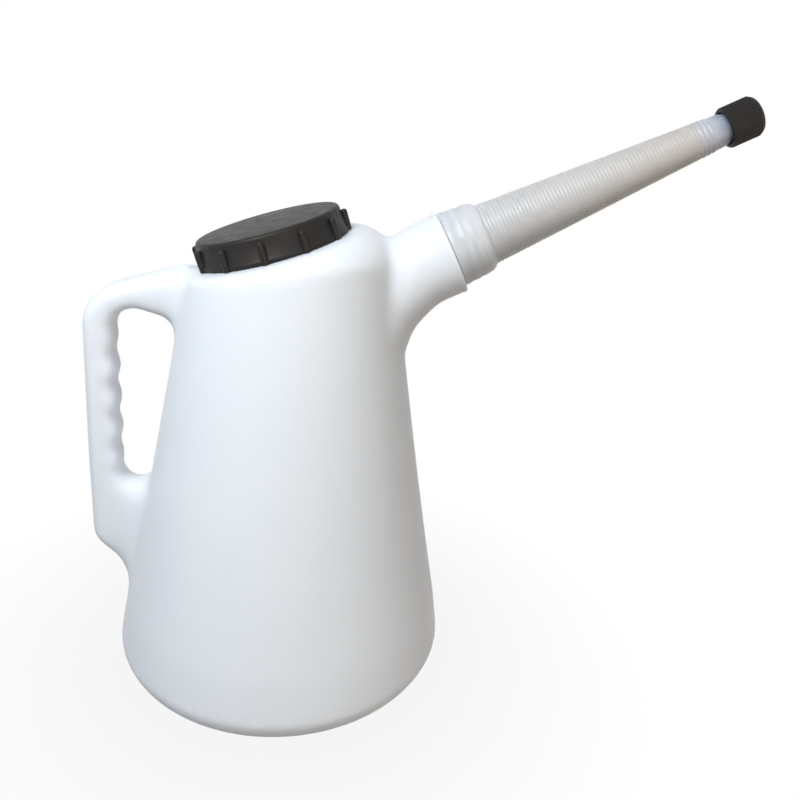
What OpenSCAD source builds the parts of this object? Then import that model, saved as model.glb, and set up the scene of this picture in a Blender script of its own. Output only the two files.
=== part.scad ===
// Oil jug with a screw lid, a screw-on ribbed spout and a spout cap.
// Millimetres. The jug stands on z = 0, its spout points to +X and its handle to -X.
// The origin is the centre of the round base, on the floor.

/* [Jug body] */
// Diameter of the base
base_d = 200; // [190:1:210]
// Radius of the rounding between base and side
base_round = 22; // [18:1:26]
// How much the side's radius falls for each millimetre of height
side_draft = 0.187; // [0.18:0.001:0.192]
// How far the side is drawn in at half height
side_waist = 1.6; // [0:0.1:2.5]
// Height of the sloping deck, measured on the base's axis
deck_h = 261.2; // [258:0.2:264]
// Slope of the deck and lid in degrees, rising towards the spout
deck_tilt = 18; // [17:0.5:19]
// Wall of the blown body
wall = 2.2; // [1.8:0.1:2.6]

/* [Handle] */
// Distance of the handle's outer face from the base's axis
handle_reach = 114; // [112:0.5:118]
// Thickness of the grip, measured away from the body
grip_thick = 16.2; // [14:0.2:18]
// Width of the handle across the jug
handle_w = 24; // [20:1:28]
// Rounding of the handle's long edges
handle_round = 7; // [4:0.5:9]
// Spacing of the finger bumps
finger_pitch = 19; // [17:0.5:21]
// Height of the finger bumps above their mean line
finger_h = 1.1; // [0.5:0.1:2]

/* [Lid] */
// Radius of the lid's skirt at its lower edge
lid_r = 42.2; // [41.2:0.1:43]
// Height of the lid over the deck
lid_h = 15; // [13:0.5:17]
// Number of grip ribs round the skirt
lid_ribs = 12; // [8:1:16]
// Angle of the first grip rib from the spout's side, in degrees
rib_turn = 28; // [0:1:30]
// Outer radius of the filler neck that the lid screws on
neck_r = 36.8; // [36:0.1:37.2]

/* [Spout] */
// Slope of the spout in degrees above the horizontal
spout_tilt = 27.75; // [26:0.25:29]
// Radius of the spout's tube at its collar
tube_r = 17.2; // [16:0.1:18]
// Radius of the spout's tube where the cap starts
tip_r = 8.75; // [8:0.05:9.5]
// Distance from the spout's root to the cap's rim
spout_len = 210.2; // [190:0.1:230]

/* [Spout cap] */
// Outer radius of the cap
cap_r = 11.3; // [10.8:0.1:12]
// Length of the cap
cap_len = 19; // [18.8:0.1:22]

/* [Hidden] */
eps = 0.01;
$fn = 96;
base_r = base_d / 2;

// The lid's axis leaves the deck a little behind the base's axis.
lid_x = -10.7;
lid_foot = [lid_x, 0, deck_h + lid_x * tan(deck_tilt)];
neck_wall = 3;
lid_gap = 0.8;
lid_panel = 2.4;
seal_t = 1.5;
seat_gap = 0.1;
neck_h = lid_h - lid_panel - seal_t - 2 * seat_gap;
lid_wall = 2.7;
lid_edge = 3;
lid_taper = 1.6;
rib_r = 1.9;
rib_seat = lid_r - 0.4;
rib_h = lid_h - 5.5;

// The shoulder round the deck is a quarter ellipse about the lid's axis.
shoulder_start = 46;
shoulder_across = 17;
shoulder_down = 22;
below = 320;
side_top = 282;

// The spout's axis starts inside the body at its root.
root = [44, 0, 240.5];
stub_end = 48;
stub_r = 23.3;
stub_root_r = 24;
gusset_foot = [40, 0, 229];
gusset_foot_r = 31;
gusset_end = 46;
gusset_tilt = 37.5;
spigot_r = 17;
spigot_wall = 2.5;
spigot_end = 63;
collar_gap = 0.6;
collar_end = 68;
collar_r0 = 21.2;
collar_r1 = 19.8;
collar_wall = 1.8;
spout_seal_t = 1.6;
ledge = spigot_end + spout_seal_t + 2 * seat_gap;
tube_wall = 1.8;
tip_neck_r = 8.2;
tip_bore = 5.8;
tip_end = spout_len + 15.2;
liner_t = 1.2;
cap_wall = 2;
cap_edge = 2.5;
cap_ribs = 36;

white = [0.93, 0.93, 0.94];
clear_white = [0.86, 0.85, 0.85];
black = [0.11, 0.11, 0.12];
grey = [0.35, 0.35, 0.36];

// Radius of the body's side at height z
function side_r(z) =
    let (up = (z - base_round) / (deck_h - base_round))
    base_r - side_draft * (z - base_round) - 4 * side_waist * up * (1 - up);

// Radius of the tube at distance s along the spout
function tube_at(s) = tube_r + (tip_r - tube_r) * (s - collar_end) / (spout_len - collar_end);

// Points of an arc about c with radius r from angle a0 to a1
function arc(c, r, a0, a1, n = 8) =
    [for (i = [0 : n]) c + r * [cos(a0 + (a1 - a0) * i / n), sin(a0 + (a1 - a0) * i / n)]];

// One rounded corner at p between its neighbours a and b
function corner(a, p, b, r) =
    let (u = (a - p) / norm(a - p),
         v = (b - p) / norm(b - p),
         half = acos(u * v) / 2,
         c = p + (u + v) / norm(u + v) * r / sin(half),
         s = c - p,
         t0 = p + u * r / tan(half) - c,
         t1 = p + v * r / tan(half) - c,
         a0 = atan2(t0[1], t0[0]),
         turn = atan2(t0[0] * t1[1] - t0[1] * t1[0], t0 * t1))
    arc(c, r, a0, a0 + turn);

// Children drawn along the lid's axis, starting on the deck
module on_deck() {
    translate(lid_foot) rotate([0, -deck_tilt, 0]) children();
}

// Children drawn along the spout's axis, starting at its root
module on_spout() {
    translate(root) rotate([0, 90 - spout_tilt, 0]) children();
}

// The tapered side with its rounded base, shrunk by t all over
module side_form(t) {
    rotate_extrude($fn = 128)
        polygon(concat(
            [[0, t]],
            arc([base_r - base_round, base_round], base_round - t, -90, -10),
            [for (z = [base_round + 20 : 20 : side_top]) [side_r(z) - t, z]],
            [[0, side_top]]));
}

// Everything below the sloping deck and its rounded shoulder
module deck_form(t) {
    on_deck() rotate_extrude($fn = 128)
        polygon(concat(
            [[0, -t]],
            [for (a = [90 : -10 : 0])
                [shoulder_start + (shoulder_across - t) * cos(a), -shoulder_down + (shoulder_down - t) * sin(a)]],
            [[300, -below], [0, -below]]));
}

// The handle's side view: an outline with a window for the fingers
module handle_outline() {
    top_in = [-50, 241];
    top_out = [-57, 247];
    back_top = [-handle_reach, 228.6];
    back_low = [-handle_reach - 1.3, 78];
    heel = [-102, 64];
    heel_in = [-94.5, 46];
    deep = [-70, 60];
    polygon(concat(
        [top_in, top_out],
        corner(top_out, back_top, back_low, 26),
        corner(back_top, back_low, heel, 8),
        corner(back_low, heel, heel_in, 14),
        [heel_in, deep]));
}

// The window between grip and body; its left side carries the finger bumps
module handle_window() {
    grip_x = -handle_reach + grip_thick;
    head = [grip_x, 224.8];
    head_in = [-side_r(217) + 0.5, 212.5];
    sill_in = [-side_r(111) + 0.5, 114];
    sill = [grip_x, 114.5];
    grip_top = 206;
    grip_low = 128;
    bump_top = 185;
    polygon(concat(
        corner(head_in, head, sill, 12),
        [for (z = [grip_top : -2 : grip_low])
            [grip_x + finger_h * cos(360 * (z - bump_top) / finger_pitch), z]],
        corner(head, sill, sill_in, 12),
        corner(sill, sill_in, head_in, 4),
        corner(sill_in, head_in, head, 15)));
}

// The handle with rounded edges, built of nested slabs and shrunk by t all over
module handle_form(t) {
    for (a = [0, 30, 60, 90]) {
        slab = handle_w - 2 * handle_round * (1 - sin(a)) - 2 * t;
        inset = handle_round * (1 - cos(a)) + t;
        rotate([90, 0, 0])
            linear_extrude(slab - (a == 90 ? 0 : eps), center = true)
                offset(delta = -inset)
                    difference() {
                        handle_outline();
                        handle_window();
                    }
    }
}

// The stub that carries the spout, with the swelling under its root
module stub_form(t) {
    on_spout() translate([0, 0, 5])
        cylinder(h = stub_end - 5 - t, r1 = stub_root_r - t, r2 = stub_r - t);
    translate(gusset_foot) rotate([0, 90 - gusset_tilt, 0])
        cylinder(h = gusset_end - t, r1 = gusset_foot_r - t, r2 = stub_r - 2 - t);
}

// Blown jug body in one piece: shell, hollow handle, filler neck and spout stub
module body() {
    color(white) difference() {
        union() {
            intersection() {
                side_form(0);
                deck_form(0);
            }
            handle_form(0);
            stub_form(0);
            on_deck() translate([0, 0, -4]) cylinder(h = neck_h + 4, r = neck_r);
            on_spout() translate([0, 0, stub_end - 4]) cylinder(h = spigot_end - stub_end + 4, r = spigot_r);
        }
        intersection() {
            side_form(wall);
            deck_form(wall);
        }
        handle_form(wall);
        stub_form(wall);
        on_deck() translate([0, 0, -8]) cylinder(h = neck_h + 12, r = neck_r - neck_wall);
        on_spout() translate([0, 0, stub_end - 8])
            cylinder(h = spigot_end - stub_end + 12, r = spigot_r - spigot_wall);
    }
}

// Black screw lid with grip ribs round its skirt
module lid() {
    color(black) on_deck() difference() {
        union() {
            rotate_extrude($fn = 128)
                polygon(concat(
                    [[0, lid_gap], [lid_r, lid_gap]],
                    arc([lid_r - lid_taper - lid_edge, lid_h - lid_edge], lid_edge, 0, 90),
                    [[0, lid_h]]));
            for (i = [0 : lid_ribs - 1])
                rotate([0, 0, rib_turn + i * 360 / lid_ribs]) translate([rib_seat, 0, lid_gap - 0.3]) {
                    cylinder(h = rib_h, r = rib_r, $fn = 32);
                    translate([0, 0, rib_h]) sphere(r = rib_r, $fn = 32);
                }
        }
        translate([0, 0, -2]) cylinder(h = lid_h - lid_panel + 2, r = lid_r - lid_wall - 0.7);
    }
}

// Flat ring between the lid's panel and the rim of the neck
module lid_seal() {
    color(grey) on_deck() translate([0, 0, neck_h + seat_gap]) difference() {
        cylinder(h = seal_t, r = lid_r - lid_wall - 1.2);
        translate([0, 0, -1]) cylinder(h = seal_t + 2, r = neck_r - neck_wall - 1);
    }
}

// Flexible spout: screw collar and long tapering tube in one piece
module spout() {
    low = stub_end + collar_gap;
    color(clear_white) on_spout() rotate_extrude() polygon([
        [collar_r0, low],
        [collar_r1, collar_end],
        [tube_at(collar_end + 1), collar_end + 1],
        [tip_r, spout_len - 0.6],
        [tip_neck_r, spout_len - 0.6],
        [tip_neck_r, tip_end],
        [tip_bore, tip_end],
        [tip_bore, spout_len - 8],
        [tube_at(ledge) - tube_wall, ledge],
        [collar_r1 - collar_wall, ledge],
        [collar_r0 - collar_wall, low]]);
}

// Flat ring between the spout's inner ledge and the end of the spigot
module spout_seal() {
    color(grey) on_spout() translate([0, 0, spigot_end + seat_gap]) difference() {
        cylinder(h = spout_seal_t, r = collar_r1 - collar_wall - 0.4);
        translate([0, 0, -1]) cylinder(h = spout_seal_t + 2, r = spigot_r - spigot_wall + 0.2);
    }
}

// Black cap over the spout's tip, with fine grip ribs
module spout_cap() {
    color(black) on_spout() translate([0, 0, spout_len]) difference() {
        union() {
            rotate_extrude()
                polygon(concat(
                    [[0, 0], [cap_r - 0.4, 0]],
                    arc([cap_r - 0.4 - cap_edge, cap_len - cap_edge], cap_edge, 0, 90),
                    [[0, cap_len]]));
            for (i = [0 : cap_ribs - 1])
                rotate([0, 0, i * 360 / cap_ribs]) translate([cap_r - 0.5, 0, 1])
                    cylinder(h = cap_len - cap_edge - 2, r = 0.5, $fn = 16);
        }
        translate([0, 0, -1]) cylinder(h = cap_len - cap_wall + 1, r = cap_r - 0.4 - cap_wall);
    }
}

// Soft disc in the cap that closes the spout's mouth
module cap_liner() {
    color(grey) on_spout() translate([0, 0, tip_end + seat_gap])
        cylinder(h = liner_t, r = cap_r - cap_wall - 0.7);
}

body();
lid();
lid_seal();
spout();
spout_seal();
spout_cap();
cap_liner();
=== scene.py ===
import math

import bpy
from mathutils import Matrix, Vector


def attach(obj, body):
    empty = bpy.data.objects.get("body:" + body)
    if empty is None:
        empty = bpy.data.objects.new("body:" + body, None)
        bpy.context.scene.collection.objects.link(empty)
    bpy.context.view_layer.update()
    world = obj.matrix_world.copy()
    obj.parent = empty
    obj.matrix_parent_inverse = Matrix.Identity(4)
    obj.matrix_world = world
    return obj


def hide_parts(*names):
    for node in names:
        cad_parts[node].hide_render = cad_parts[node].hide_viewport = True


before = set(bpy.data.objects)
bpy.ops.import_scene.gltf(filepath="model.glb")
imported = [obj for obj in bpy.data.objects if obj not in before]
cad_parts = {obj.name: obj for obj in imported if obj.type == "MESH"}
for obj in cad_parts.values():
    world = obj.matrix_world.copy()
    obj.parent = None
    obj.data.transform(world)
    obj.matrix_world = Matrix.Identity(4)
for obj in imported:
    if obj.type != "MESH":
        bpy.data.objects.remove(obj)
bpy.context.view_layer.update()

# Units: sizes are in millimetres, and MM turns them into metres.
MM = 0.001
FULL_TURN = 2 * math.pi

# Blown body
BASE_R = 100
BASE_ROUND = 22
SIDE_DRAFT = 0.187
SIDE_WAIST = 1.6
DECK_H = 261.2
DECK_TILT = math.radians(18)
WALL = 2.2
SHOULDER_START = 46
SHOULDER_ACROSS = 17
SHOULDER_DOWN = 22
VOXEL = 2.2

# Handle
HANDLE_REACH = 114
GRIP_THICK = 16.2
HANDLE_W = 24
HANDLE_ROUND = 7
FINGER_PITCH = 19
FINGER_H = 1.1
BUMP_TOP = 185

# Lid and filler neck
LID_X = -10.7
LID_R = 42.2
LID_H = 15
LID_PANEL = 2.4
LID_WALL = 2.7
LID_GAP = 0.8
LID_RIBS = 12
LID_RIB_R = 1.9
RIB_TURN = 28 / 30
NECK_R = 36.8
NECK_WALL = 3
NECK_H = 10.9
LID_LEAD = 4.5

# Stub, spigot and spout
SPOUT_TILT = math.radians(27.75)
ROOT = Vector((44, 0, 240.5))
STUB_END = 48
STUB_R = 23.3
STUB_SAG = 1.3
SWELLING_FOOT = (40, 0, 229)
SWELLING_TILT = math.radians(52.5)
SPIGOT_R = 17
SPIGOT_WALL = 2.5
SPIGOT_END = 63
SPOUT_LEAD = 5.2
COLLAR_LOW = 48.3
COLLAR_END = 68
COLLAR_R0 = 21.2
COLLAR_R1 = 19.8
COLLAR_WALL = 1.8
LEDGE = 64.8
TUBE_R = 17.2
TUBE_WALL = 1.8
TIP_R = 8.75
SPOUT_LEN = 210.2
TIP_NECK_R = 8.2
TIP_BORE = 5.8
TIP_END = 225.4

# Spout cap
CAP_R = 11.3
CAP_LEN = 19
CAP_WALL = 2
CAP_RIBS = 40
CAP_RIB_R = 0.5


def axis_place(foot, tilt):
    """Where a shape drawn round Z goes, so that Z leans from upright towards +X by tilt."""
    return Matrix.Translation(Vector(foot) * MM) @ Matrix.Rotation(tilt, 4, "Y")


DECK_PLACE = axis_place((LID_X, 0, DECK_H + LID_X * math.tan(DECK_TILT)), -DECK_TILT)
SPOUT_PLACE = axis_place(ROOT, math.pi / 2 - SPOUT_TILT)
# The stub is fuller below than above, so its middle lies under the spout's axis.
STUB_PLACE = SPOUT_PLACE @ Matrix.Translation((STUB_SAG * MM, 0, 0))
UPRIGHT = Matrix.Identity(4)


def clear_selection():
    """Leaves edit mode, with nothing selected."""
    if bpy.context.mode != "OBJECT":
        bpy.ops.object.mode_set(mode="OBJECT")
    bpy.ops.object.select_all(action="DESELECT")


def pick(piece):
    """Selects one piece alone and makes it active."""
    clear_selection()
    piece.select_set(True)
    bpy.context.view_layer.objects.active = piece


def edit_all(piece):
    """Opens a piece in edit mode with all of its mesh selected."""
    pick(piece)
    bpy.ops.object.mode_set(mode="EDIT")
    bpy.ops.mesh.select_all(action="SELECT")


def close_up():
    """Merges doubles and turns all faces outwards; used in edit mode."""
    bpy.ops.mesh.select_all(action="SELECT")
    bpy.ops.mesh.remove_doubles(threshold=0.001 * MM)
    bpy.ops.mesh.dissolve_degenerate(threshold=0.001 * MM)
    bpy.ops.mesh.select_all(action="SELECT")
    bpy.ops.mesh.normals_make_consistent(inside=False)


def drawn_line(name, points):
    """A line of edges through points, started from a plane shrunk to one corner; stays in edit mode."""
    clear_selection()
    bpy.ops.mesh.primitive_plane_add(size=MM)
    line = bpy.context.object
    line.name = name
    bpy.ops.object.mode_set(mode="EDIT")
    bpy.ops.mesh.select_all(action="SELECT")
    bpy.ops.mesh.merge(type="CENTER")
    bpy.ops.transform.translate(value=Vector(points[0]) * MM)
    for here, there in zip(points, points[1:]):
        step = (Vector(there) - Vector(here)) * MM
        bpy.ops.mesh.extrude_vertices_move(TRANSFORM_OT_translate={"value": step})
    return line


def put(piece, place):
    """Moves a piece to its place and keeps that place in its mesh."""
    pick(piece)
    piece.matrix_world = place
    bpy.ops.object.transform_apply(location=True, rotation=True, scale=True)


def spun(name, profile, place, steps):
    """A turned shape: a profile of (radius, height) pairs spun round Z and put in its place."""
    piece = drawn_line(name, [(r, 0, h) for r, h in profile])
    bpy.ops.mesh.select_all(action="SELECT")
    bpy.ops.mesh.spin(steps=steps, angle=FULL_TURN, center=(0, 0, 0), axis=(0, 0, 1), use_auto_merge=True)
    close_up()
    put(piece, place)
    return piece


def finish_with(piece, kind, **settings):
    """Adds one modifier with its settings and applies it."""
    pick(piece)
    modifier = piece.modifiers.new(kind.title(), kind)
    for key, value in settings.items():
        setattr(modifier, key, value)
    bpy.ops.object.modifier_apply(modifier=modifier.name)


def combine(piece, tool, operation, solver="MANIFOLD"):
    """Joins, cuts or intersects a piece with a tool, which is used up."""
    finish_with(piece, "BOOLEAN", operation=operation, solver=solver, object=tool)
    bpy.data.objects.remove(tool)


def joined(pieces):
    """Several overlapping solids as one object."""
    pick(pieces[0])
    for piece in pieces:
        piece.select_set(True)
    bpy.ops.object.join()
    return bpy.context.object


def arc(centre, radius, start, end, steps=10):
    """Points of an arc from one angle to another, in degrees."""
    points = []
    for i in range(steps + 1):
        angle = math.radians(start + (end - start) * i / steps)
        points.append((centre[0] + radius * math.cos(angle), centre[1] + radius * math.sin(angle)))
    return points


def corner(before, point, after, radius, steps=8):
    """A rounded corner of an outline at point, between its neighbours."""
    p = Vector(point)
    u = (Vector(before) - p).normalized()
    v = (Vector(after) - p).normalized()
    half = u.angle(v) / 2
    centre = p + (u + v).normalized() * radius / math.sin(half)
    first = p + u * radius / math.tan(half) - centre
    turn = first.angle_signed(p + v * radius / math.tan(half) - centre)
    points = []
    for i in range(steps + 1):
        points.append(tuple(centre + Matrix.Rotation(-turn * i / steps, 2) @ first))
    return points


def side_r(z):
    """Radius of the body's side at a height."""
    up = (z - BASE_ROUND) / (DECK_H - BASE_ROUND)
    return BASE_R - SIDE_DRAFT * (z - BASE_ROUND) - 4 * SIDE_WAIST * up * (1 - up)


def tapered_side():
    """The round tapered side with its rounded base."""
    base_arc = arc((BASE_R - BASE_ROUND, BASE_ROUND), BASE_ROUND, -90, -10, 16)
    rest = [(side_r(z), z) for z in range(42, 283, 20)]
    return spun("side", [(0, 0)] + base_arc + rest + [(0, rest[-1][1])], UPRIGHT, 160)


def under_deck():
    """All that lies under the sloping deck and its rounded shoulder."""
    shoulder = []
    for degrees in range(90, -1, -6):
        angle = math.radians(degrees)
        across = SHOULDER_START + SHOULDER_ACROSS * math.cos(angle)
        shoulder.append((across, -SHOULDER_DOWN + SHOULDER_DOWN * math.sin(angle)))
    return spun("under_deck", [(0, 0)] + shoulder + [(300, -320), (0, -320)], DECK_PLACE, 160)


def slab(name, outline, width):
    """A flat outline in the jug's middle plane, thickened to both sides."""
    piece = drawn_line(name, [(x, -width / 2, z) for x, z in outline])
    bpy.ops.mesh.select_all(action="SELECT")
    bpy.ops.mesh.edge_face_add()
    bpy.ops.mesh.extrude_region_move(TRANSFORM_OT_translate={"value": (0, width * MM, 0)})
    close_up()
    clear_selection()
    return piece


def handle_outline():
    """The outside of the handle, from its head on the shoulder down to its heel on the side."""
    top_out = (-57, 247)
    back_top = (-HANDLE_REACH, 228.6)
    back_low = (-HANDLE_REACH - 1.3, 78)
    heel = (-102, 64)
    heel_in = (-94.5, 46)
    points = [(-50, 241), top_out]
    points += corner(top_out, back_top, back_low, 26)
    points += corner(back_top, back_low, heel, 8)
    points += corner(back_low, heel, heel_in, 14)
    return points + [heel_in, (-70, 60)]


def finger_window():
    """The gap between grip and body, with a bump between each two fingers."""
    grip_x = -HANDLE_REACH + GRIP_THICK
    head = (grip_x, 226)
    head_in = (-side_r(217) + 2, 213)
    sill_in = (-side_r(116) + 4, 113.8)
    sill = (grip_x, 114.3)
    body_side = [(-side_r(z) + 4, z) for z in range(124, 197, 8)]
    points = corner(head_in, head, sill, 12)
    for z in range(208, 123, -2):
        fade = min(1, (z - 122) / 10, (210 - z) / 10)
        points.append((grip_x + FINGER_H * fade * math.cos(FULL_TURN * (z - BUMP_TOP) / FINGER_PITCH), z))
    points += corner(head, sill, sill_in, 8.5) + corner(sill, sill_in, body_side[0], 6, 4) + body_side
    return points + corner(body_side[-1], head_in, head, 15)


def handle():
    """The handle with its rounded long edges."""
    piece = slab("handle", handle_outline(), HANDLE_W)
    combine(piece, slab("window", finger_window(), HANDLE_W + 20), "DIFFERENCE", "EXACT")
    finish_with(piece, "BEVEL", width=HANDLE_ROUND * MM, segments=6, angle_limit=math.radians(60),
                use_clamp_overlap=False)
    return piece


def spout_stub():
    """The stub that the spout screws on, a little narrower where it leaves the shoulder."""
    profile = [(0, -4), (21.5, -4), (21.5, 18), (22, 25), (22.8, 31), (STUB_R, 37), (STUB_R, STUB_END)]
    return spun("stub", profile + [(0, STUB_END)], STUB_PLACE, 72)


def stub_swelling():
    """The swelling that carries the stub down into the side."""
    profile = [(0, 2), (35.5, 2), (33.4, 8.1), (28.6, 13.6), (26, 20), (23.8, 30), (22.6, 38)]
    profile += [(21.6, 44), (0, 44)]
    return spun("swelling", profile, axis_place(SWELLING_FOOT, SWELLING_TILT), 72)


def soften(piece, spots, times):
    """Smooths the surface round a few places; each is a centre and a reach."""
    group = piece.vertex_groups.new(name="soft")
    for vertex in piece.data.vertices:
        weight = 0.0
        for centre, reach in spots:
            away = (vertex.co - Vector(centre) * MM).length / (reach * MM)
            weight = max(weight, min(1.0, 2 * (1 - away)))
        group.add([vertex.index], max(weight, 0.0), "REPLACE")
    finish_with(piece, "SMOOTH", factor=0.5, iterations=times, vertex_group="soft")
    piece.vertex_groups.clear()


def thread(name, radius, depth, lead, turns, low, place):
    """One thread's ridge round a neck, standing depth over its radius."""
    flank = [(radius - 0.6, 0, low - 1.1), (radius + depth, 0, low - 0.5)]
    flank += [(radius + depth, 0, low + 0.5), (radius - 0.6, 0, low + 1.1), (radius - 0.6, 0, low - 1.1)]
    ridge = drawn_line(name, flank)
    close_up()
    finish_with(ridge, "SCREW", angle=FULL_TURN * turns, screw_offset=lead * turns * MM,
                steps=round(48 * turns), render_steps=round(48 * turns), axis="Z")
    edit_all(ridge)
    bpy.ops.mesh.fill_holes(sides=6)
    close_up()
    put(ridge, place)
    return ridge


def ring(name, inner, outer, low, high, place, steps=96):
    """A plain neck with a small rounding on its rim; inner 0 gives a solid plug."""
    profile = [(inner, low), (outer, low), (outer, high - 0.6), (outer - 0.6, high), (inner, high)]
    if inner:
        profile.append((inner, low))
    return spun(name, profile, place, steps)


def blown_body():
    """The blown jug in one piece: shell, hollow handle, filler neck and threaded spigot."""
    side = tapered_side()
    combine(side, under_deck(), "INTERSECT", "EXACT")
    body = joined([side, handle(), spout_stub(), stub_swelling()])
    body.name = "jug_body"
    finish_with(body, "REMESH", mode="VOXEL", voxel_size=VOXEL * MM)
    finish_with(body, "SMOOTH", factor=0.5, iterations=5)
    stub_root = ((58, 0, 232), 50)
    handle_head = ((-62, 0, 228), 30)
    handle_heel = ((-92, 0, 80), 52)
    soften(body, [stub_root, handle_head, handle_heel], 24)
    handle_sides = (-HANDLE_W / 2, HANDLE_W / 2)
    creases = [((-side_r(z) + 1, y, z), 18) for z in range(46, 117, 8) for y in handle_sides]
    creases += [((-side_r(z), y, z), 15) for z in range(214, 239, 8) for y in handle_sides]
    soften(body, creases, 70)
    hollow = body.copy()
    hollow.data = body.data.copy()
    bpy.context.collection.objects.link(hollow)
    finish_with(hollow, "DISPLACE", strength=-WALL * MM, mid_level=0)
    finish_with(hollow, "DECIMATE", ratio=0.3)
    neck_bore_r = NECK_R - NECK_WALL
    spigot_bore_r = SPIGOT_R - SPIGOT_WALL
    combine(body, ring("neck", 0, NECK_R, -4, NECK_H, DECK_PLACE), "UNION")
    combine(body, ring("stub_rim", 0, STUB_R, STUB_END - 2.5, STUB_END, STUB_PLACE), "UNION")
    combine(body, ring("spigot", 0, SPIGOT_R, STUB_END - 6, SPIGOT_END, SPOUT_PLACE), "UNION")
    combine(body, thread("neck_thread", NECK_R, 1.3, LID_LEAD, 1.6, 1.8, DECK_PLACE), "UNION")
    combine(body, thread("spigot_thread", SPIGOT_R, 0.9, SPOUT_LEAD, 2, 50.3, SPOUT_PLACE), "UNION")
    combine(body, hollow, "DIFFERENCE")
    combine(body, ring("neck_bore", 0, neck_bore_r, -12, NECK_H + 5, DECK_PLACE), "DIFFERENCE")
    combine(body, ring("spigot_bore", 0, spigot_bore_r, 30, SPIGOT_END + 5, SPOUT_PLACE), "DIFFERENCE")
    edit_all(body)
    close_up()
    pick(body)
    bpy.ops.object.shade_smooth_by_angle(angle=math.radians(38))
    return body


def tube_at(s):
    """Mean radius of the tube at a distance along the spout."""
    return TUBE_R + (TIP_R - TUBE_R) * (s - COLLAR_END) / (SPOUT_LEN - COLLAR_END)


def collar_profile():
    """The screw collar, with the soft rings that its thread leaves outside."""
    rings = ((50.4, 0.25), (56.6, 0.3), (61.6, 0.3))
    points = [(COLLAR_R0 - 0.4, COLLAR_LOW), (COLLAR_R0 - 0.1, COLLAR_LOW + 0.2)]
    s = COLLAR_LOW + 0.7
    while s < COLLAR_END - 3:
        plain = COLLAR_R0 + (COLLAR_R1 - COLLAR_R0) * (s - COLLAR_LOW) / (COLLAR_END - COLLAR_LOW)
        bulge = sum(height * math.exp(-((s - middle) / 1.5) ** 2) for middle, height in rings)
        points.append((plain + bulge, s))
        s += 0.45
    points += [(COLLAR_R1 - 0.1, COLLAR_END - 2), (COLLAR_R1 - 0.9, COLLAR_END - 0.4)]
    return points + [(COLLAR_R1 - 2, COLLAR_END + 0.5)]


def tube_profile():
    """The tube: fine ribs nearly to the tip, a few bolder rings, and a smooth clear end."""
    points = [(tube_at(COLLAR_END + 1) + 0.5, COLLAR_END + 0.7)]
    s = COLLAR_END + 1.4
    pitch, depth = 2.0, 0.2
    while s < SPOUT_LEN - 18:
        for part in range(6):
            wave = 0.5 - 0.5 * math.cos(FULL_TURN * part / 6)
            points.append((tube_at(s) - 0.1 + depth * wave, s + pitch * part / 6))
        s += pitch
    pitch, depth = 2.8, 0.45
    while s < SPOUT_LEN - 10:
        for part in range(8):
            wave = 0.5 - 0.5 * math.cos(FULL_TURN * part / 8)
            points.append((tube_at(s) - 0.2 + depth * wave, s + pitch * part / 8))
        s += pitch
    return points + [(tube_at(s), s), (TIP_R, SPOUT_LEN - 1.2), (TIP_R - 0.3, SPOUT_LEN - 0.7)]


def ribbed_spout():
    """The flexible spout in one piece: collar, ribbed tube and threaded tip."""
    tip = [(TIP_NECK_R, SPOUT_LEN - 0.6), (TIP_NECK_R, TIP_END - 0.5), (TIP_NECK_R - 0.5, TIP_END)]
    bore = [(TIP_BORE, TIP_END), (TIP_BORE, SPOUT_LEN - 8), (tube_at(LEDGE) - TUBE_WALL, LEDGE)]
    socket = [(COLLAR_R1 - COLLAR_WALL, LEDGE), (COLLAR_R0 - COLLAR_WALL, COLLAR_LOW)]
    profile = collar_profile() + tube_profile() + tip + bore + socket
    spout = spun("ribbed_spout", profile + profile[:1], SPOUT_PLACE, 88)
    combine(spout, thread("tip_thread", TIP_NECK_R, 0.7, 4, 2.5, SPOUT_LEN + 2.6, SPOUT_PLACE), "UNION")
    pick(spout)
    bpy.ops.object.shade_smooth_by_angle(angle=math.radians(50))
    return spout


def rib_row(name, count, seat, radius, low, high, place, first=0.0, flat=1.0):
    """Round-topped grip ribs: one bar is modelled and the others are its copies round the axis."""
    clear_selection()
    bpy.ops.mesh.primitive_cylinder_add(vertices=20, radius=radius * MM, depth=(high - low) * MM,
                                        location=(seat * MM, 0, (high + low) / 2 * MM))
    bar = bpy.context.object
    bar.scale = (flat, 1, 1)
    bpy.ops.object.transform_apply(location=True, rotation=True, scale=True)
    edit_all(bar)
    bpy.ops.mesh.select_all(action="DESELECT")
    bpy.ops.object.mode_set(mode="OBJECT")
    for face in bar.data.polygons:
        face.select = face.normal.z > 0.9
    bpy.ops.object.mode_set(mode="EDIT")
    bpy.ops.mesh.bevel(offset=radius * 0.85 * min(flat, 1) * MM, segments=5, affect="EDGES")
    bpy.ops.object.mode_set(mode="OBJECT")
    bars = []
    for i in range(count):
        twin = bar.copy()
        twin.data = bar.data.copy()
        twin.data.transform(Matrix.Rotation(FULL_TURN * (i + first) / count, 4, "Z"))
        bpy.context.collection.objects.link(twin)
        bars.append(twin)
    bpy.data.objects.remove(bar)
    row = joined(bars)
    row.name = name
    put(row, place)
    return row


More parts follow.
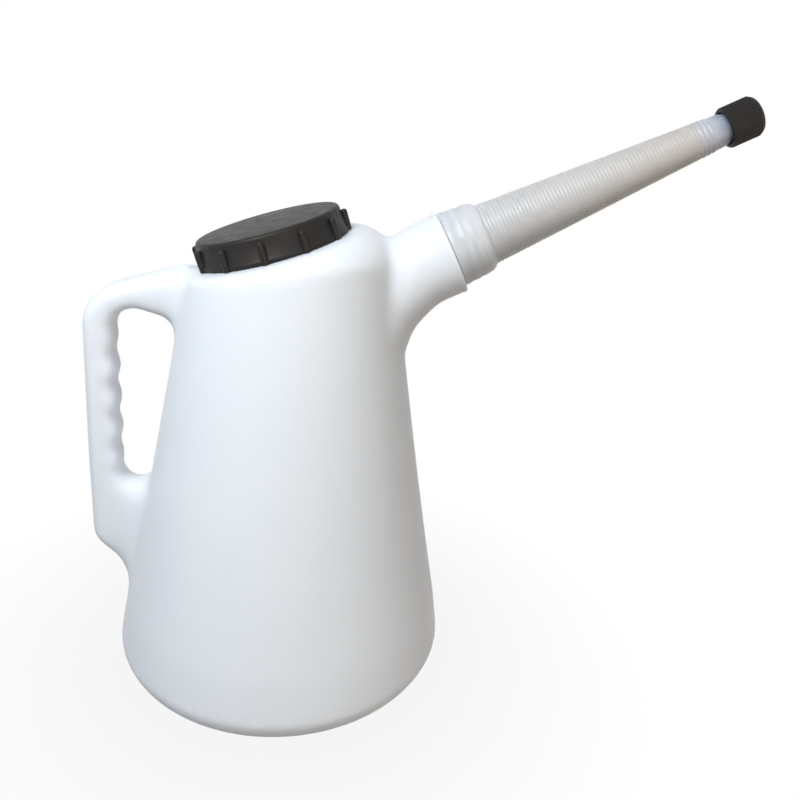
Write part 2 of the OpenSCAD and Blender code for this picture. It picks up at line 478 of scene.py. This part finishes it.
def screw_lid():
    """The black lid: panel with a rounded edge, skirt, and twelve grip ribs."""
    top_r = LID_R - 2
    edge = 2.2
    under = LID_H - LID_PANEL
    inner = LID_R - LID_WALL - 0.7
    profile = [(0, under), (inner, under), (inner, LID_GAP), (LID_R - 0.5, LID_GAP), (LID_R, LID_GAP + 0.5)]
    profile += [(LID_R, LID_GAP + 1.6), (LID_R - 0.6, LID_GAP + 2.4)]
    profile += arc((top_r - edge, LID_H - edge), edge, 0, 90, 8)
    lid = spun("screw_lid", profile + [(0, LID_H)], DECK_PLACE, 144)
    ribs = rib_row("lid_ribs", LID_RIBS, LID_R - 0.4, LID_RIB_R, LID_GAP - 0.3, LID_H - 3.1, DECK_PLACE,
                   first=RIB_TURN)
    combine(lid, ribs, "UNION")
    pick(lid)
    bpy.ops.object.shade_smooth_by_angle(angle=math.radians(35))
    return lid


def tip_cap():
    """The small black cap with its fine grip ribs."""
    outer = CAP_R - 0.4
    edge = 3.2
    inner = outer - CAP_WALL
    under = CAP_LEN - CAP_WALL
    profile = [(0, under), (inner, under), (inner, 0.4), (inner + 0.4, 0), (outer - 0.4, 0)]
    profile += [(outer, 0.5)] + arc((outer - edge, CAP_LEN - edge), edge, 0, 90, 8)
    place = SPOUT_PLACE @ Matrix.Translation((0, 0, SPOUT_LEN * MM))
    cap = spun("tip_cap", profile + [(0, CAP_LEN)], place, 120)
    ribs = rib_row("cap_ribs", CAP_RIBS, outer - 0.1, CAP_RIB_R, 0.9, CAP_LEN - 2.6, place)
    combine(cap, ribs, "UNION")
    pick(cap)
    bpy.ops.object.shade_smooth_by_angle(angle=math.radians(35))
    return cap


def new_material(name):
    """A node material with its nodes, links, shader and Object coordinates."""
    material = bpy.data.materials.new(name)
    material.use_nodes = True
    nodes = material.node_tree.nodes
    links = material.node_tree.links
    shader = nodes["Principled BSDF"]
    place = nodes.new("ShaderNodeTexCoord").outputs["Object"]
    return material, nodes, links, shader, place


def noise(nodes, links, place, scale, detail=2.0):
    """A noise pattern on the given coordinates; its size is given by scale in waves per metre."""
    node = nodes.new("ShaderNodeTexNoise")
    node.inputs["Scale"].default_value = scale
    node.inputs["Detail"].default_value = detail
    links.new(place, node.inputs["Vector"])
    return node.outputs["Fac"]


def spread(nodes, links, source, low, high):
    """Maps a pattern from its middle range to low and high."""
    node = nodes.new("ShaderNodeMapRange")
    node.inputs["From Min"].default_value = 0.3
    node.inputs["From Max"].default_value = 0.7
    node.inputs["To Min"].default_value = low
    node.inputs["To Max"].default_value = high
    links.new(source, node.inputs["Value"])
    return node.outputs["Result"]


def blend_colours(nodes, links, share, first, second):
    """Mixes two colours by a pattern."""
    node = nodes.new("ShaderNodeMix")
    node.data_type = "RGBA"
    node.inputs["A"].default_value = (*first, 1)
    node.inputs["B"].default_value = (*second, 1)
    links.new(share, node.inputs["Factor"])
    return node.outputs["Result"]


def bump(nodes, links, shader, height, depth_mm, strength=1.0):
    """Roughens a finish by a pattern, without moving its surface."""
    node = nodes.new("ShaderNodeBump")
    node.inputs["Distance"].default_value = depth_mm * MM
    node.inputs["Strength"].default_value = strength
    links.new(height, node.inputs["Height"])
    links.new(node.outputs["Normal"], shader.inputs["Normal"])


def milky_plastic():
    """Blown white polyethylene: light goes a little way in, and the gloss is soft."""
    material, nodes, links, shader, place = new_material("milky_polyethylene")
    cloud = spread(nodes, links, noise(nodes, links, place, 14), 0, 1)
    colour = blend_colours(nodes, links, cloud, (0.83, 0.845, 0.87), (0.865, 0.875, 0.89))
    links.new(colour, shader.inputs["Base Color"])
    links.new(spread(nodes, links, noise(nodes, links, place, 60), 0.36, 0.44), shader.inputs["Roughness"])
    shader.inputs["Subsurface Weight"].default_value = 0.5
    shader.inputs["Subsurface Radius"].default_value = (1.0, 0.95, 0.9)
    shader.inputs["Subsurface Scale"].default_value = 10 * MM
    shader.inputs["IOR"].default_value = 1.5
    shader.inputs["Specular IOR Level"].default_value = 0.14
    bump(nodes, links, shader, noise(nodes, links, place, 900, 3), 0.03)
    return material


def clear_tube_plastic():
    """The softer, clearer plastic of the spout, which turns bluish towards its smooth tip."""
    material, nodes, links, shader, place = new_material("clear_polyethylene")
    along = nodes.new("ShaderNodeVectorMath")
    along.operation = "DOT_PRODUCT"
    along.inputs[1].default_value = (math.cos(SPOUT_TILT), 0, math.sin(SPOUT_TILT))
    links.new(place, along.inputs[0])
    start = ROOT.x * math.cos(SPOUT_TILT) + ROOT.z * math.sin(SPOUT_TILT)
    ramp = nodes.new("ShaderNodeValToRGB")
    ramp.color_ramp.elements[0].position = 0.0
    ramp.color_ramp.elements[0].color = (0.93, 0.92, 0.92, 1)
    ramp.color_ramp.elements[1].position = 1.0
    ramp.color_ramp.elements[1].color = (0.25, 0.285, 0.35, 1)
    warm = ramp.color_ramp.elements.new(0.2)
    warm.color = (0.66, 0.61, 0.58, 1)
    still_warm = ramp.color_ramp.elements.new(0.86)
    still_warm.color = (0.55, 0.49, 0.445, 1)
    cool = ramp.color_ramp.elements.new(0.95)
    cool.color = (0.48, 0.5, 0.55, 1)
    reach = nodes.new("ShaderNodeMapRange")
    reach.inputs["From Min"].default_value = (start + COLLAR_LOW) * MM
    reach.inputs["From Max"].default_value = (start + SPOUT_LEN) * MM
    links.new(along.outputs["Value"], reach.inputs["Value"])
    links.new(reach.outputs["Result"], ramp.inputs["Fac"])
    links.new(ramp.outputs["Color"], shader.inputs["Base Color"])
    links.new(spread(nodes, links, noise(nodes, links, place, 90), 0.32, 0.42), shader.inputs["Roughness"])
    shader.inputs["Subsurface Weight"].default_value = 0.9
    shader.inputs["Subsurface Radius"].default_value = (1.0, 0.95, 0.9)
    shader.inputs["Subsurface Scale"].default_value = 15 * MM
    shader.inputs["IOR"].default_value = 1.5
    bump(nodes, links, shader, noise(nodes, links, place, 700, 3), 0.03)
    return material


def black_plastic():
    """Black moulded plastic with a fine satin grain; its gloss carries a painted warm reflection."""
    material, nodes, links, shader, place = new_material("black_moulding")
    cloud = spread(nodes, links, noise(nodes, links, place, 40), 0, 1)
    colour = blend_colours(nodes, links, cloud, (0.012, 0.0115, 0.0118), (0.016, 0.0152, 0.0155))
    links.new(colour, shader.inputs["Base Color"])
    links.new(spread(nodes, links, noise(nodes, links, place, 160), 0.42, 0.54), shader.inputs["Roughness"])
    shader.inputs["IOR"].default_value = 1.5
    shader.inputs["Specular IOR Level"].default_value = 0.22
    # Painted reflection: the warm specular tint stands in for the warm room light that the lid's top
    # reflects.
    shader.inputs["Specular Tint"].default_value = (1, 0.86, 0.72, 1)
    bump(nodes, links, shader, noise(nodes, links, place, 1400, 3), 0.04)
    return material


def seal_rubber():
    """Soft dark rubber of the seals and the liner."""
    material, nodes, links, shader, place = new_material("seal_rubber")
    cloud = spread(nodes, links, noise(nodes, links, place, 120), 0, 1)
    colour = blend_colours(nodes, links, cloud, (0.05, 0.05, 0.052), (0.075, 0.075, 0.078))
    links.new(colour, shader.inputs["Base Color"])
    links.new(spread(nodes, links, noise(nodes, links, place, 300), 0.6, 0.75), shader.inputs["Roughness"])
    bump(nodes, links, shader, noise(nodes, links, place, 1500, 2), 0.04)
    return material


def dress(piece, material, node, body):
    """Gives a new piece its finish and its body, and hides the CAD node that it stands for."""
    piece.data.materials.clear()
    piece.data.materials.append(material)
    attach(piece, body)
    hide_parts(node)


def seen_directly(nodes, links):
    """1 for what the camera sees itself or through gloss and glass, else 0."""
    rays = nodes.new("ShaderNodeLightPath")
    seen = rays.outputs["Is Camera Ray"]
    for kind in ("Is Glossy Ray", "Is Transmission Ray"):
        either = nodes.new("ShaderNodeMath")
        either.operation = "MAXIMUM"
        links.new(seen, either.inputs[0])
        links.new(rays.outputs[kind], either.inputs[1])
        seen = either.outputs[0]
    return seen


def white_when_seen(nodes, links, place):
    """Shows a floor as mostly white: 0.9 of it near the jug and all of it far away."""
    away = nodes.new("ShaderNodeVectorMath")
    away.operation = "LENGTH"
    links.new(place, away.inputs[0])
    share = nodes.new("ShaderNodeMapRange")
    share.inputs["From Min"].default_value = 0.1
    share.inputs["From Max"].default_value = 0.24
    share.inputs["To Min"].default_value = 0.9
    share.inputs["To Max"].default_value = 1.0
    links.new(away.outputs["Value"], share.inputs["Value"])
    part = nodes.new("ShaderNodeMath")
    part.operation = "MULTIPLY"
    links.new(seen_directly(nodes, links), part.inputs[0])
    links.new(share.outputs["Result"], part.inputs[1])
    glow = nodes.new("ShaderNodeEmission")
    glow.inputs["Color"].default_value = (1, 1, 1, 1)
    mix = nodes.new("ShaderNodeMixShader")
    links.new(part.outputs[0], mix.inputs["Fac"])
    links.new(nodes["Principled BSDF"].outputs[0], mix.inputs[1])
    links.new(glow.outputs[0], mix.inputs[2])
    links.new(mix.outputs[0], nodes["Material Output"].inputs["Surface"])


def floor():
    """A plain pale floor that keeps the jug's soft shadow."""
    clear_selection()
    bpy.ops.mesh.primitive_plane_add(size=12)
    sheet = bpy.context.object
    sheet.name = "floor"
    material, nodes, links, shader, place = new_material("pale_floor")
    shader.inputs["Base Color"].default_value = (0.11, 0.107, 0.112, 1)
    shader.inputs["Roughness"].default_value = 0.9
    white_when_seen(nodes, links, place)
    sheet.data.materials.append(material)


def studio_world():
    """Even soft daylight, with a white backdrop for the camera."""
    world = bpy.data.worlds.new("studio")
    bpy.context.scene.world = world
    world.use_nodes = True
    nodes = world.node_tree.nodes
    links = world.node_tree.links
    light = nodes["Background"]
    light.inputs["Color"].default_value = (0.93, 0.95, 1.0, 1)
    light.inputs["Strength"].default_value = 0.33
    backdrop = nodes.new("ShaderNodeBackground")
    backdrop.inputs["Color"].default_value = (1, 1, 1, 1)
    mix = nodes.new("ShaderNodeMixShader")
    links.new(seen_directly(nodes, links), mix.inputs["Fac"])
    links.new(light.outputs[0], mix.inputs[1])
    links.new(backdrop.outputs[0], mix.inputs[2])
    links.new(mix.outputs[0], nodes["World Output"].inputs["Surface"])


def soft_lamp(name, place, aim, size, power, colour):
    """One rectangular lamp, with its place and aim in metres."""
    data = bpy.data.lights.new(name, "AREA")
    data.shape = "RECTANGLE"
    data.size, data.size_y = size
    data.energy = power
    data.color = colour
    lamp = bpy.data.objects.new(name, data)
    bpy.context.collection.objects.link(lamp)
    lamp.location = place
    lamp.rotation_euler = (Vector(aim) - Vector(place)).to_track_quat("-Z", "Y").to_euler()


def photo_camera():
    """The photograph's viewpoint, worked out from the outlines of the base, side, lid and spout."""
    place = Vector((17.8, -439.8, 344.7)) * MM
    yaw, pitch, roll = 0.112, 0.352, 0.083
    focal_px = 797
    image_px = 800
    centre_px = (405.3, 383.7)
    forward = Vector((math.sin(yaw) * math.cos(pitch), math.cos(yaw) * math.cos(pitch), -math.sin(pitch)))
    level = Vector((math.cos(yaw), -math.sin(yaw), 0))
    upward = level.cross(forward)
    right = math.cos(roll) * level + math.sin(roll) * upward
    up = math.cos(roll) * upward - math.sin(roll) * level
    data = bpy.data.cameras.new("photo_camera")
    camera = bpy.data.objects.new("photo_camera", data)
    bpy.context.collection.objects.link(camera)
    turned = Matrix((right, up, -forward)).transposed().to_4x4()
    camera.matrix_world = Matrix.Translation(place) @ turned
    data.sensor_width = 36
    data.lens = focal_px * data.sensor_width / image_px
    data.shift_x = (image_px / 2 - centre_px[0]) / image_px
    data.shift_y = (centre_px[1] - image_px / 2) / image_px
    data.clip_start = 0.01
    bpy.context.scene.camera = camera


white = milky_plastic()
clear = clear_tube_plastic()
black = black_plastic()
rubber = seal_rubber()

dress(blown_body(), white, "body", "jug")
dress(ribbed_spout(), clear, "spout", "spout")
dress(screw_lid(), black, "lid", "lid")
dress(tip_cap(), black, "spout_cap", "spout_cap")
for node in ("lid_seal", "spout_seal", "cap_liner"):
    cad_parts[node].material_slots[0].material = rubber

floor()
studio_world()
soft_lamp("window", (0.6, -2.0, 0.8), (0, 0, 0.2), (0.3, 0.6), 5, (0.9, 0.96, 1.0))
soft_lamp("left_sky", (-0.27, -0.47, 0.73), (0, 0, 0.2), (0.36, 0.36), 6.1, (0.87, 0.94, 1.0))
soft_lamp("right_fill", (1.0, -1.15, 0.25), (0.1, 0, 0.28), (1.0, 0.4), 4.2, (1.0, 0.8, 0.55))
photo_camera()

bpy.context.scene.view_settings.view_transform = "Standard"
